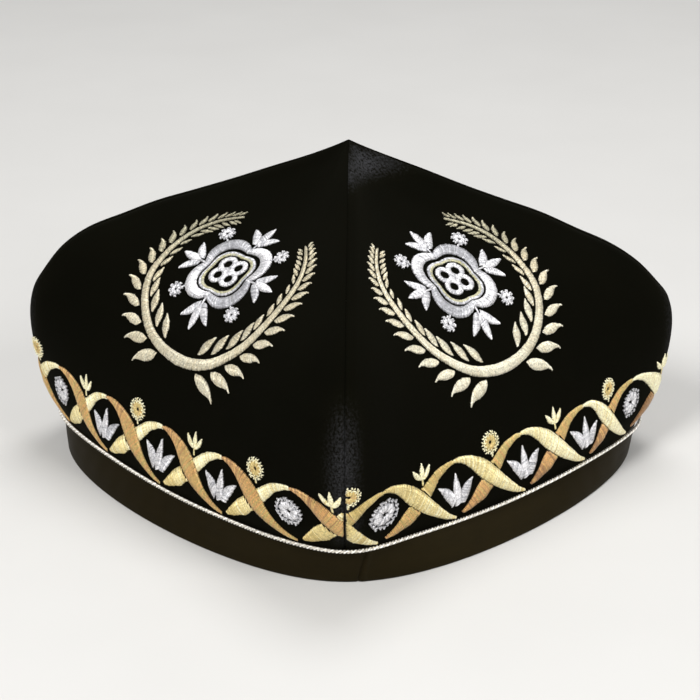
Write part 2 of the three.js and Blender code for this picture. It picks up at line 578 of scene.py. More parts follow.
@dataclass(frozen=True)
class VelvetFinish:
    """Black pile velvet: no gloss of its own, with a painted grey sheen where the points are marked
    for it.
    """

    deep: Triple = (0.0008, 0.0008, 0.0002)
    nap: Triple = (0.0028, 0.0026, 0.0012)
    bloom: Triple = (0.030, 0.030, 0.032)

    def material(self) -> Material:
        """The velvet.

        Returns:
            The material.
        """
        desk = NodeDesk("black_velvet")
        desk.fixed(Sheen_Weight=0.011, Sheen_Roughness=0.5, Sheen_Tint=(0.9, 0.87, 0.6, 1.0))
        desk.fixed(Specular_IOR_Level=0.02)
        patches = desk.noise(desk.cloth(45.0, 22.0), detail=4.0)
        pile = desk.noise(desk.cloth(5200.0, 2600.0), detail=2.0)
        grain = desk.noise(desk.cloth(1300.0, 900.0), detail=3.0, rough=0.75)
        mixed = desk.math("ADD", desk.math("MULTIPLY", pile, 0.5), desk.between(patches, 0.1, 0.5))
        # painted sheen: a grainy, patchy grey highlight laid into the base colour where the points
        # are marked for it
        painted_sheen = desk.math("MULTIPLY", desk.marked("worn"), desk.between(grain, -1.9, 3.6))
        painted_sheen = desk.math("MULTIPLY", painted_sheen, desk.between(patches, 0.3, 1.4))
        place = desk.math("ADD", desk.between(mixed, 0.0, 0.4), desk.math("MULTIPLY", painted_sheen, 0.6))
        stops = ((0.1, self.deep), (0.32, self.nap), (1.0, self.bloom))
        desk.feed("Base Color", desk.ramp(place, stops))
        desk.feed("Roughness", desk.between(patches, 0.75, 0.95))
        desk.bump(pile, 0.3, 0.0002)
        desk.bump(patches, 0.1, 0.001)
        return desk.material


@dataclass(frozen=True)
class LiningFinish:
    """Plain black cotton inside the crown."""

    dark: Triple = (0.008, 0.0075, 0.007)
    light: Triple = (0.02, 0.019, 0.017)
    threads: float = 1500.0

    def material(self) -> Material:
        """The cotton, woven one over one.

        Returns:
            The material.
        """
        desk = NodeDesk("cotton_lining")
        desk.fixed(Sheen_Weight=0.15, Roughness=0.9, Specular_IOR_Level=0.2)
        where, ways = desk.cloth(self.threads, self.threads), []
        for direction in "XY":
            wave = desk.node("ShaderNodeTexWave", bands_direction=direction, wave_profile="SIN")
            wave.inputs["Scale"].default_value = 1.0
            wave.inputs["Distortion"].default_value = 0.6
            desk.join(where, wave.inputs["Vector"])
            ways.append(wave.outputs["Fac"])
        weave = desk.math("MULTIPLY", *ways)
        desk.feed("Base Color", desk.ramp(weave, ((0.0, self.dark), (1.0, self.light))))
        desk.bump(weave, 0.5, 0.0002)
        return desk.material


@dataclass(frozen=True)
class SatinFinish:
    """Black satin ribbon with a brown cast, partly its own and partly a painted warm reflection:
    long soft floats and a quiet gloss.
    """

    # base colours: the satin's own brown cast, warmed further as a painted warm reflection
    dark: Triple = (0.0048, 0.0034, 0.0009)
    light: Triple = (0.0115, 0.0080, 0.0024)

    def material(self) -> Material:
        """The satin.

        Returns:
            The material.
        """
        desk = NodeDesk("black_satin")
        # the yellow gloss and sheen tints are a painted warm reflection
        desk.fixed(Specular_IOR_Level=0.11, Specular_Tint=(1.0, 0.8, 0.42, 1.0))
        desk.fixed(Sheen_Weight=0.01, Sheen_Roughness=0.4, Sheen_Tint=(1.0, 0.85, 0.6, 1.0))
        floats = desk.noise(desk.cloth(260.0, 5200.0), detail=3.0)
        slubs = desk.noise(desk.cloth(30.0, 240.0), detail=3.0)
        mixed = desk.math("ADD", desk.math("MULTIPLY", floats, 0.45), desk.between(slubs, 0.1, 0.5))
        desk.feed("Base Color", desk.ramp(mixed, ((0.3, self.dark), (0.75, self.light))))
        desk.feed("Roughness", desk.between(slubs, 0.42, 0.6))
        desk.bump(floats, 0.25, 0.00012)
        desk.bump(slubs, 0.15, 0.0005)
        return desk.material


@dataclass(frozen=True)
class ThreadFinish:
    """Bright embroidery thread. Its shade runs along a ramp by the tone of each stitch."""

    name: str
    stops: Stops
    metallic: float = 0.4
    roughness: float = 0.36
    speckle: tuple[float, float] = (-0.2, 1.85)

    def material(self) -> Material:
        """The thread, with its two plies.

        Returns:
            The material.
        """
        desk = NodeDesk(self.name)
        desk.fixed(Metallic=self.metallic, Specular_IOR_Level=0.6)
        desk.fixed(Sheen_Weight=0.2, Sheen_Roughness=0.3)
        fine = desk.noise(desk.solid(1900.0), detail=3.0, rough=0.7)
        # a broad mottle of the thread's tone and roughness
        worn = desk.noise(desk.solid(160.0), detail=2.0)
        shade = desk.math("ADD", desk.marked("tone"), desk.between(worn, -0.1, 0.1))
        speckle = desk.node("ShaderNodeVectorMath", operation="SCALE")
        desk.join(desk.ramp(shade, self.stops), speckle.inputs[0])
        desk.join(desk.between(fine, *self.speckle), speckle.inputs["Scale"])
        desk.feed("Base Color", speckle.outputs["Vector"])
        desk.feed("Roughness", desk.between(worn, self.roughness - 0.06, self.roughness + 0.1))
        desk.bump(desk.math("SINE", desk.marked("ply"), 0.0), 0.35, 0.00005)
        return desk.material


GOLD = ThreadFinish(
    "gold_thread",
    (
        (0.0, (0.42, 0.23, 0.10)),
        (0.2, (0.74, 0.45, 0.18)),
        (0.42, (0.60, 0.46, 0.17)),
        (0.6, (0.72, 0.57, 0.24)),
        (0.78, (0.84, 0.71, 0.34)),
        (1.0, (1.0, 0.93, 0.64)),
    ),
    speckle=(0.05, 1.95),
)
PALE_GOLD = ThreadFinish(
    "pale_gold_thread",
    (
        (0.0, (0.33, 0.30, 0.20)),
        (0.35, (0.49, 0.46, 0.32)),
        (0.65, (0.76, 0.67, 0.47)),
        (1.0, (0.93, 0.88, 0.70)),
    ),
)
SILVER = ThreadFinish(
    "silver_thread",
    (
        (0.0, (0.60, 0.56, 0.30)),
        (0.25, (0.64, 0.62, 0.46)),
        (0.5, (0.38, 0.38, 0.40)),
        (0.8, (0.58, 0.575, 0.60)),
        (0.9, (0.72, 0.715, 0.735)),
        (1.0, (0.97, 0.95, 0.96)),
    ),
    metallic=0.45,
    roughness=0.34,
)
CORD_SILVER = ThreadFinish(
    "silver_cord",
    ((0.0, (0.12, 0.11, 0.09)), (0.5, (0.56, 0.52, 0.45)), (1.0, (1.0, 0.96, 0.88))),
    metallic=0.3,
    roughness=0.3,
    speckle=(-0.5, 2.6),
)


def build_mesh(
    name: str,
    points: Array,
    faces: list[Array],
    materials: list[Material],
    finish_of: list[int] | None = None,
) -> Object:
    """Makes an object from points and blocks of faces.

    Args:
        name: the object's name.
        points: points in millimetres.
        faces: blocks of faces, each block an array with one face a row.
        materials: the finishes.
        finish_of: the finish of each block, by its place in materials.

    Returns:
        The new object, smooth shaded and in metres.
    """
    mesh = bpy.data.meshes.new(name)
    flat = np.concatenate([block.reshape(-1) for block in faces])
    sizes = np.concatenate([np.full(len(block), block.shape[1]) for block in faces])
    mesh.vertices.add(len(points))
    mesh.vertices.foreach_set("co", (points * MM).astype(np.float32).reshape(-1))
    mesh.loops.add(len(flat))
    mesh.loops.foreach_set("vertex_index", flat.astype(np.int32))
    mesh.polygons.add(len(sizes))
    starts = np.concatenate([[0], np.cumsum(sizes)[:-1]])
    mesh.polygons.foreach_set("loop_start", starts.astype(np.int32))
    for material in materials:
        mesh.materials.append(material)
    if finish_of:
        own = np.concatenate([np.full(len(b), f) for b, f in zip(faces, finish_of)])
        mesh.polygons.foreach_set("material_index", own.astype(np.int32))
    mesh.update(calc_edges=True)
    mesh.validate()
    mesh.polygons.foreach_set("use_smooth", np.ones(len(mesh.polygons), bool))
    made = bpy.data.objects.new(name, mesh)
    bpy.context.scene.collection.objects.link(made)
    return made


def lay_cloth_map(piece: Object, cloth: Array) -> None:
    """Gives each point of a piece its place on the flat cloth, for the weave.

    Args:
        piece: the object.
        cloth: places in millimetres, one a point.
    """
    mesh = piece.data
    own = np.empty(len(mesh.loops), np.int32)
    mesh.loops.foreach_get("vertex_index", own)
    layer = mesh.uv_layers.new(name="cloth")
    layer.data.foreach_set("uv", (cloth[own] * MM).astype(np.float32).reshape(-1))


def mark(piece: Object, name: str, values: Array) -> None:
    """Stores one value a point on a piece."""
    layer = piece.data.attributes.new(name, "FLOAT", "POINT")
    layer.data.foreach_set("value", values.astype(np.float32))


def grid_faces(rows: int, columns: int, start: int = 0, flip: bool = False) -> Array:
    """Four-cornered faces over a grid of points.

    Args:
        rows: rows of points.
        columns: points in a row.
        start: number of the first point.
        flip: True to face the other way.

    Returns:
        One face a row.
    """
    at = start + np.arange(rows * columns).reshape(rows, columns)
    a, b, c, d = at[:-1, :-1], at[:-1, 1:], at[1:, 1:], at[1:, :-1]
    order = (a, d, c, b) if flip else (a, b, c, d)
    return np.stack([corner.reshape(-1) for corner in order], 1)


def strip_faces(one: Array, two: Array) -> Array:
    """Four-cornered faces between two rows of point numbers of one length."""
    return np.stack([one[:-1], one[1:], two[1:], two[:-1]], 1)


def ring_faces(at: Array) -> Array:
    """Four-cornered faces over a grid of point numbers that closes on itself both ways.

    Args:
        at: numbers of the points, in rows and columns.

    Returns:
        One face a row.
    """
    ahead, aside = np.roll(at, -1, 0), np.roll(at, -1, 1)
    corners = (at, ahead, np.roll(ahead, -1, 1), aside)
    return np.stack([corner.reshape(-1) for corner in corners], 1)


@dataclass
class VelvetGore:
    """One gore: velvet outside, cotton inside, both turned in at the seams."""

    shape: CapShape
    quarter: Quarter
    rows: int = 116
    columns: int = 96
    seam_crowding: float = 0.86
    top_share: float = 0.9985
    half_gap: float = 0.03
    wall: float = 2.2
    seam_bulk: float = 1.5
    # painted sheen along the seam ridges: width of a ridge and the shares where it starts, thins
    # out and ends; then
    # the painted sheen patch near the peak: its strength, and its place and spread across and up
    ridge: tuple[float, ...] = (4.6, 0.08, 0.25, 0.45)
    patch: tuple[float, ...] = (1.7, 0.4, 0.5, 0.93, 0.045)

    def build(self, velvet: Material, lining: Material) -> Object:
        """Makes the gore.

        Args:
            velvet: finish of the outer face and the turned edges.
            lining: finish of the inner face.

        Returns:
            The gore.
        """
        even = np.linspace(0, 1, self.columns + 1)
        across = even - self.seam_crowding * np.sin(2 * np.pi * even) / (2 * np.pi)
        across = np.clip(across, 2e-5, 1 - 2e-5)
        shares = np.linspace(0, 1, self.rows + 1)
        shares[-1] = self.top_share
        angle, share = np.meshgrid(self.quarter.value + across, shares)
        outer = self.shape.point(angle, share)
        wall = self.wall * (1 + (self.seam_bulk - 1) * np.abs(2 * across - 1) ** 3)
        inner = self.shape.bare(angle, share) - self.shape.normal(angle, share) * wall[:, None]
        first, second = (float(self.shape.heading(self.quarter.value + end)) for end in (0, 1))
        inward = np.array(
            [(-math.sin(first), math.cos(first), 0.0), (math.sin(second), -math.cos(second), 0.0)]
        )
        for way in inward:
            inner = inner + way * np.maximum(0, outer @ way / 2 - inner @ way)[..., None]
        points = (np.stack([outer, inner]) + inward.sum(0) * self.half_gap).reshape(-1, 3)
        out = np.arange(angle.size).reshape(angle.shape)
        inn = out + out.size
        faces = [
            grid_faces(*out.shape),
            grid_faces(*out.shape, out.size, True),
            strip_faces(inn[0], out[0]),
            strip_faces(out[-1], inn[-1]),
            strip_faces(out[:, 0], inn[:, 0]),
            strip_faces(inn[:, -1], out[:, -1]),
        ]
        made = build_mesh(
            f"velvet_gore_{self.quarter.label}", points, faces, [velvet, lining], [0, 1, 0, 0, 0, 0]
        )
        run, up = flatten(outer)
        flat = np.stack([run, up[:, None] + 0 * run], -1).reshape(-1, 2)
        lay_cloth_map(made, np.tile(flat, (2, 1)))
        # the mask of painted sheen that lightens the velvet's base colour
        mark(made, "worn", np.tile(self.worn(angle, share).reshape(-1), 2))
        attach(made, "root")
        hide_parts(f"crown_{self.quarter.label}")
        return made

    def worn(self, angle: Array, share: Array) -> Array:
        """How much painted grey sheen the velvet gets: along the ridges, and on one gore near the
        peak.

        Args:
            angle: quarter turns from the front seam.
            share: share of the way up the sections.

        Returns:
            Nought where no sheen is painted, and about 1 or more where the painted sheen is
            strongest.
        """
        # painted sheen along the seams, where the ridges catch the light, and a painted sheen patch
        # near the peak of the front right gore
        width, start, thin, end = self.ridge
        low = np.clip(share / start, 0, 1) * np.clip((end - share) / (end - thin), 0, 1)
        ridge = np.exp(-((self.shape.from_seam(angle, share)[1] / width) ** 2)) * low
        strength, across, spread, up, rise = self.patch
        off = ((angle - np.floor(angle) - across) / spread) ** 2 + ((share - up) / rise) ** 2
        return ridge + strength * np.exp(-off) * (self.quarter is Quarter.FRONT_RIGHT)


@dataclass
class SatinBand:
    """The band: a ribbon folded over its stiffening, butted near the front corner."""

    shape: CapShape
    height: float = 10.6
    wall: float = 2.4
    fold: float = 0.55
    fold_steps: int = 4
    wall_steps: int = 6
    butt: float = 0.046
    butt_span: float = 0.02
    # the butt's groove and the roll beside it: depth and width, then rise, place and width
    groove: tuple[float, float] = (0.5, 0.376)
    roll: Triple = (0.18, 1.18, 0.86)
    wave: float = 0.1
    waves: Table = ((1.0, 9.0, 0.0, 1.0), (0.6, 23.0, 0.0, 0.0), (0.4, 61.0, 0.0, 0.0))
    quarter_run: float = 145.0
    steps: int = 900
    # corner share, sink, softness, turn: at the rim and at the upper edge
    rim: tuple[float, ...] = (0.896, 0.42, 0.29, 0.02)
    upper: tuple[float, ...] = (0.911, 0.61, 0.12, 0.0)

    def profile(self) -> Array:
        """The cross-section: inset and height of each point, with rounded folds.

        Returns:
            The points in order round the section, two values each.
        """
        fold, turned = self.fold, []
        corners = (
            (fold, fold, 270),
            (fold, self.height - fold, 180),
            (self.wall - fold, self.height - fold, 90),
            (self.wall - fold, fold, 0),
        )
        for inset, height, first in corners:
            for step in range(self.fold_steps + 1):
                turn = math.radians(first - 90 / self.fold_steps * step)
                turned.append((inset, height) + fold * unit(turn))
        dense = []
        for one, two in zip(turned, turned[1:] + turned[:1]):
            count = self.wall_steps if math.dist(one, two) > self.height / 2 else 1
            dense += [one + (two - one) * step / count for step in range(count)]
        return np.array(dense)

    def outline(self, angle: Array, height: Array) -> Array:
        """The outer face of the band at an angle in quarter turns and a height.

        Args:
            angle: quarter turns from the front seam.
            height: height on the band, in millimetres from the rim.

        Returns:
            Points, three values each.
        """
        share = height / self.height
        corner, sink, softness, turn = (
            low + (high - low) * share for low, high in zip(self.rim, self.upper)
        )
        radius = self.shape.reach * corner * drawn_in((angle - turn) * np.pi / 2, sink, softness)
        heading, raised = self.shape.heading(angle, share), height + share * self.shape.hem(angle)
        return np.stack([radius * np.cos(heading), radius * np.sin(heading), raised], -1)

    def build(self, satin: Material) -> Object:
        """Makes the band.

        Args:
            satin: its finish.

        Returns:
            The band.
        """
        profile = self.profile()
        near_butt = np.linspace(-self.butt_span, self.butt_span, 25) + self.butt
        steps = np.union1d(np.arange(self.steps) * 4 / self.steps, near_butt)
        angle, inset = np.meshgrid(steps, profile[:, 0], indexing="ij")
        height = np.broadcast_to(profile[:, 1], angle.shape)
        along = self.outline(angle + 1e-3, height) - self.outline(angle - 1e-3, height)
        inward = np.cross(np.array([0.0, 0.0, 1.0]), along * (1, 1, 0))
        inward /= np.linalg.norm(inward, axis=-1, keepdims=True)
        waves = ripples(self.waves, angle * np.pi / 2)
        from_butt = (angle - self.butt) * self.quarter_run
        (depth, width), (rise, place, spread) = self.groove, self.roll
        sunk = depth * np.exp(-((from_butt / width) ** 2))
        sunk -= rise * np.exp(-(((from_butt - place) / spread) ** 2))
        outside = np.clip(1 - inset / self.wall * 2, 0, 1)
        off = outside * (sunk + self.wave * waves * np.sin(np.pi * height / self.height))
        points = self.outline(angle, height) + inward * (inset + off)[..., None]
        at = np.arange(angle.size).reshape(angle.shape)
        made = build_mesh("satin_band", points.reshape(-1, 3), [ring_faces(at)], [satin])
        cloth = np.stack([angle * self.quarter_run, height + inset * 3], -1)
        lay_cloth_map(made, cloth.reshape(-1, 2))
        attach(made, "root")
        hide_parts("head_band")
        return made


@dataclass
class TwistedCord:
    """The silver cord: two plies laid over the seam between the gores and the band."""

    shape: CapShape
    radius: float = 0.75
    standing: float = 1.2
    seat: float = 0.6
    pitch: float = 2.3
    ply_radius: float = 0.34
    ply_offset: float = 0.29
    ply_tones: tuple[float, ...] = (1.0, 0.6)
    thread_turn: float = 2.1
    steps_a_turn: int = 10
    sides: int = 6

    def centre(self, angle: Array) -> tuple[Array, Array, Array]:
        """The cord's own line.

        Args:
            angle: quarter turns from the front seam.

        Returns:
            The line, and two directions square to it.
        """
        first = (self.shape.top - self.shape.base) * self.shape.sections[1][0]
        share = self.seat * self.radius / first / (len(self.shape.sections) - 1) + 0 * angle
        out = self.shape.normal(angle, share)
        line = self.shape.bare(angle, share) + out * self.standing
        along = self.shape.bare(angle + 1e-3, share) - self.shape.bare(angle - 1e-3, share)
        along /= np.linalg.norm(along, axis=-1, keepdims=True)
        up = np.cross(out, along)
        return line, out, up

    def build(self, finish: Material) -> Object:
        """Makes the cord.

        Args:
            finish: its thread.

        Returns:
            The cord, closed on itself.
        """
        coarse = np.linspace(0, 4, 2001)
        run = run_along(self.centre(coarse)[0])
        count = round(run[-1] / self.pitch) * self.steps_a_turn
        angle = np.interp(np.arange(count) / count * run[-1], run, coarse)
        line, out, up = self.centre(angle)
        around = (np.arange(self.sides) / self.sides * 2 * np.pi)[:, None]
        ring = out[:, None] * np.cos(around) + up[:, None] * np.sin(around)
        at = np.arange(count * self.sides).reshape(count, self.sides)
        points, faces, tones = [], [], []
        for ply, tone in enumerate(self.ply_tones):
            twist = (np.arange(count) / self.steps_a_turn * 2 * np.pi + ply * np.pi)[:, None]
            mid = line + (out * np.cos(twist) + up * np.sin(twist)) * self.ply_offset
            points.append((mid[:, None] + ring * self.ply_radius).reshape(-1, 3))
            faces.append(ring_faces(at + ply * at.size))
            tones.append(np.full(at.size, tone))
        made = build_mesh("silver_cord_twist", np.concatenate(points), faces, [finish])
        mark(made, "tone", np.concatenate(tones))
        turn = np.repeat(np.arange(count) * self.thread_turn, self.sides)
        mark(made, "ply", np.tile(turn, len(points)))
        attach(made, "root")
        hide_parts("silver_cord")
        return made


@dataclass
class Stitches:
    """Threads on flat cloth: where each goes in and comes out, its rise and its tone."""

    starts: Array = field(default_factory=lambda: np.zeros((0, 2)))
    ends: Array = field(default_factory=lambda: np.zeros((0, 2)))
    rise: Array = field(default_factory=lambda: np.zeros(0))
    tone: Array = field(default_factory=lambda: np.zeros(0))

    def lay(self, starts: Array, ends: Array, rise: Array | float, tone: Array | float) -> None:
        """Adds threads.

        Args:
            starts: where they come out of the cloth.
            ends: where they go in again.
            rise: how far they stand up in the middle, in millimetres.
            tone: their shade.
        """
        count = len(starts)
        self.starts = np.concatenate([self.starts, starts])
        self.ends = np.concatenate([self.ends, ends])
        self.rise = np.concatenate([self.rise, np.broadcast_to(rise, count)])
        self.tone = np.concatenate([self.tone, np.broadcast_to(tone, count)])

    def add(self, other: "Stitches") -> None:
        """Adds all the threads of another set."""
        self.lay(other.starts, other.ends, other.rise, other.tone)

    def moved(self, move: Callable[[Array], Array]) -> "Stitches":
        """The same threads with both ends moved."""
        return Stitches(move(self.starts), move(self.ends), self.rise, self.tone)

    def kept(self, keep: Callable[[Array], Array], least: float = 0.7) -> "Stitches":
        """Cuts the threads to the parts that lie where they may.

        Args:
            keep: tells for each cloth point whether thread may lie there.
            least: parts shorter than this are left out, in millimetres.

        Returns:
            The threads that are left.
        """
        samples = np.linspace(0, 1, 25)
        span = self.ends - self.starts
        at = self.starts[:, None] + span[:, None] * samples[None, :, None]
        inside = keep(at)
        whole, made = inside.all(1), Stitches()
        made.lay(self.starts[whole], self.ends[whole], self.rise[whole], self.tone[whole])
        first, last, owner = [], [], []
        for thread in np.flatnonzero(~whole & inside.any(1)):
            flags = np.concatenate([[0], inside[thread].astype(int), [0]])
            turns = np.diff(flags)
            for one, two in zip(np.flatnonzero(turns == 1), np.flatnonzero(turns == -1) - 1):
                if (samples[two] - samples[one]) * np.linalg.norm(span[thread]) >= least:
                    owner.append(thread)
                    first.append(samples[one])
                    last.append(samples[two])
        if owner:
            own, one, two = np.array(owner), np.array(first)[:, None], np.array(last)[:, None]
            short = np.sqrt(two[:, 0] - one[:, 0])
            made.lay(
                self.starts[own] + span[own] * one,
                self.starts[own] + span[own] * two,
                self.rise[own] * short,
                self.tone[own],
            )
        return made


@dataclass(frozen=True)
class Needle:
    """How stitches are laid side by side, and how a thread looks as a body."""

    pitch: float = 0.42
    fineness: int = 40
    width: float = 0.28
    depth: float = 0.2
    loose: float = 0.055
    shading: float = 0.1
    most_jog: float = 0.15
    margin: float = 0.27
    clear: float = 0.02
    sunk: float = -0.25
    twist: float = 7.0
    # of a rosette, as shares of its radius: hole, body, middle of a knot, inside and reach of it
    rosette_shares: tuple[float, ...] = (0.14, 0.7, 0.78, 0.05, 0.28)
    knot_threads: int = 5
    # share along a thread, share of its rise, share of its width
    stations: Table = (
        (0.07, 0.35, 0.8),
        (0.3, 0.9, 1.0),
        (0.7, 0.9, 1.0),
        (0.93, 0.35, 0.8),
    )

    def across(
        self, table: Array, rise: float, tone: Callable[[Array], Array], slant: float = 0.0
    ) -> Stitches:
        """Satin stitch between the two edges of a shape.

        Args:
            table: rows of one edge's x and y and the other edge's x and y.
            rise: rise of the widest stitch.
            tone: shade at a share of the way along.
            slant: how far the second end runs ahead, in millimetres.

        Returns:
            The stitches.
        """
        fine = smooth_rows(table, np.linspace(0, len(table) - 1, self.fineness * len(table)))
        run = run_along((fine[:, :2] + fine[:, 2:]) / 2)
        count = max(2, round(run[-1] / self.pitch))
        along = (np.arange(count) + 0.5) / count * run[-1]
        ahead = np.clip(along + slant, 0, run[-1])
        starts, ends = (
            np.stack([np.interp(at, run, fine[:, axis]) for axis in axes], 1)
            for at, axes in ((along, (0, 1)), (ahead, (2, 3)))
        )
        length = np.linalg.norm(ends - starts, axis=1)
        made = Stitches()
        height = rise * np.sqrt(np.clip(length / max(length.max(), 1e-6), 0.05, 1))
        made.lay(starts, ends, height, tone(along / run[-1]))
        return made

    def leaf(
        self,
        base: Array,
        tip: Array,
        width: float,
        tone: float,
        outline: LeafOutline = LeafOutline.SPRIG,
        bow: float = 0.0,
        hook: float = 0.0,
        rise: float = 0.5,
    ) -> Stitches:
        """A pointed leaf in satin stitch, slanted from its mid-rib.

        Args:
            base: foot of the leaf.
            tip: point of the leaf, before it hooks.
            width: widest part.
            tone: shade at its foot; the point is a little brighter.
            outline: how its width runs.
            bow: how far the middle bows to the left of base to tip, in millimetres.
            hook: how far the point turns to the right, in millimetres.
            rise: rise of the widest stitch.

        Returns:
            The stitches.
        """
        table = np.array(outline.value)
        along = np.asarray(tip, float) - np.asarray(base, float)
        length = float(np.linalg.norm(along))
        left = np.array([-along[1], along[0]]) / length
        share = table[:, :1]
        aside = bow * 4 * share * (1 - share) - hook * share**6
        rib = base + along * share + left * aside
        half = left * table[:, 1:] * width / 2
        edges = np.concatenate([rib + half, rib - half], 1)
        return self.across(edges, rise, lambda t: tone + 0.1 * t, slant=0.35 * width)

    def spray(
        self, foot: Array, leaves: tuple[Leaf, ...], out: Array = UP, longer: float = 0.0
    ) -> Stitches:
        """Several leaves that spring from one foot.

        Args:
            foot: where they spring from.
            leaves: the leaves.
            out: the way that they point.
            longer: how much further out their tips lie.

        Returns:
            The stitches.
        """
        made, axes = Stitches(), np.array([(out[1], -out[0]), out])
        for one in leaves:
            ends = foot + one.base @ axes, foot + (np.array(one.tip) + (0.0, longer)) @ axes
            made.add(self.leaf(*ends, one.width, one.tone, one.outline, one.bow, rise=one.rise))
        return made

    def ring(
        self,
        centre: Array,
        inner: Callable[[Array], Array],
        outer: Callable[[Array], Array],
        rise: float,
        tone: Callable[[Array], Array],
    ) -> Stitches:
        """Stitches that radiate between two closed outlines.

        Args:
            centre: middle of the ring.
            inner: inner radius at an angle.
            outer: outer radius at an angle.
            rise: rise of the stitches.
            tone: shade at an angle.

        Returns:
            The stitches.
        """
        fine = np.linspace(0, 2 * np.pi, 1441)
        middle = (inner(fine) + 7 * outer(fine)) / 8
        run = run_along(np.stack([middle * np.cos(fine), middle * np.sin(fine)], 1))
        count = round(run[-1] / self.pitch)
        angle = np.interp(np.arange(count) / count * run[-1], run, fine)
        out = np.stack([np.cos(angle), np.sin(angle)], 1)
        made = Stitches()
        made.lay(
            centre + out * inner(angle)[:, None], centre + out * outer(angle)[:, None], rise,
            tone(angle),
        )
        return made

    def rosette(
        self, centre: Array, radius: float, knots: int, tone: float, middle_tone: float = 0.9
    ) -> Stitches:
        """A small round of stitches with looped knots along its edge and a bare eye.

        Args:
            centre: its middle.
            radius: its radius, knots and all.
            knots: number of knots.
            tone: shade of the knots.
            middle_tone: shade of the round.

        Returns:
            The stitches.
        """
        hole, body, knot_at, knot_hole, knot_reach = (s * radius for s in self.rosette_shares)
        made = self.ring(
            np.asarray(centre, float),
            lambda a: hole + 0 * a,
            lambda a: body + 0 * a,
            0.5,
            lambda a: middle_tone + 0.12 * np.sin(knots * a),
        )
        for knot in range(knots):
            angle = 2 * np.pi * (knot + 0.3) / knots
            middle = centre + unit(angle) * knot_at
            for step in range(self.knot_threads):
                way = unit(angle + 2 * np.pi * (step + 0.5) / self.knot_threads)
                ends = (middle + way * knot_hole)[None], (middle + way * knot_reach)[None]
                made.lay(*ends, 0.5, tone - 0.12 * (step % 2))
        return made

    def stem(self, start: Array, end: Array, tone: float) -> Stitches:
        """A thin line of thread, such as a stalk.

        Args:
            start: one end.
            end: the other end.
            tone: its shade.

        Returns:
            The stitches.
        """
        made, way = Stitches(), np.asarray(end, float) - np.asarray(start, float)
        side = np.array([-way[1], way[0]]) / np.linalg.norm(way) * 0.1
        for hand in (-1, 1):
            made.lay((start + side * hand)[None], (end + side * hand)[None], 0.2, tone)
        return made

    def embroider(
        self, name: str, stitches: Stitches, cloth: GoreCloth, finish: Material
    ) -> Object:
        """Makes the threads as closed bodies on the velvet.

        Args:
            name: the object's name.
            stitches: the threads.
            cloth: the gore that they lie on.
            finish: their thread.

        Returns:
            The embroidery, as one object.
        """
        ready = stitches.kept(lambda at: cloth.to_seam(at) > self.margin)
        count = len(ready.starts)
        dice = np.random.default_rng(len(name) + cloth.quarter.value * 17)
        jog = dice.normal(0, self.loose, (2, count, 2)).clip(-self.most_jog, self.most_jog)
        starts, ends = ready.starts + jog[0], ready.ends + jog[1]
        span = ends - starts
        length = np.linalg.norm(span, axis=1, keepdims=True)
        side = np.stack([-span[:, 1], span[:, 0]], 1) / np.maximum(length, 1e-6)
        # each thread: stations along it, and at each a ring of points round it
        share, lift, wide = np.array(self.stations).T[:, :, None]
        sideways, upward = np.array([(-1, 0, 1, 0), (0, 1, 0, -1)])
        along, aside = share + 0 * sideways, sideways * self.width * wide
        spots = starts[:, None, None] + span[:, None, None] * along[..., None]
        spots = (spots + side[:, None, None] * aside[..., None]).reshape(count, -1, 2)
        heights = ready.rise[:, None, None] * lift + self.clear + upward * self.depth
        spots = np.concatenate([starts[:, None], spots, ends[:, None]], 1)
        sunk = np.full((count, 1), self.sunk)
        heights = np.concatenate([sunk, heights.reshape(count, -1), sunk], 1)
        points = cloth.place(spots, heights)
        each, (stations, sides) = points.shape[1], along.shape
        ring = 1 + np.arange(stations * sides).reshape(stations, sides)
        after = np.roll(ring, -1, 1)
        quads = (ring[:-1], ring[1:], after[1:], after[:-1])
        quads = np.stack([corner.reshape(-1) for corner in quads], 1)
        first = np.zeros(sides, int)
        tips = (
            np.stack([first, ring[0], after[0]], 1),
            np.stack([first + each - 1, after[-1], ring[-1]], 1),
        )
        offsets = (np.arange(count) * each)[:, None, None]
        faces = [(quads + offsets).reshape(-1, 4), (np.concatenate(tips) + offsets).reshape(-1, 3)]
        made = build_mesh(name, points.reshape(-1, 3), faces, [finish])
        tone = ready.tone + dice.normal(0, self.shading, count)
        mark(made, "tone", np.repeat(tone, each))
        way = np.concatenate([[0], along.reshape(-1), [1]])
        turn = np.concatenate([[0], np.tile(np.arange(sides) / sides, stations), [0]])
        mark(made, "ply", (way * length * self.twist + turn * 2 * np.pi).reshape(-1))
        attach(made, "root")
        return made


@dataclass(frozen=True)
class StrandTones:
    """Shades of one strand of the border at its upper tip, the crossing and its lower tip.

    The thread was changed along the border, so they run from the end at the front or back seam
    They are painted light and shade on one gold thread: cream on a strand whose slant catches the
    light, olive and orange on one whose slant does not. They run from the end at the front or back
    seam to the end at the side seam.
    """

    near: Triple
    far: Triple

    def along(self, away: float) -> Callable[[Array], Array]:
        """The shade as a function of the share along a strand, at a share of the way out."""
        tones = [one + (two - one) * away for one, two in zip(self.near, self.far)]
        return lambda share: np.interp(share, (0.0, 0.5, 1.0), tones)


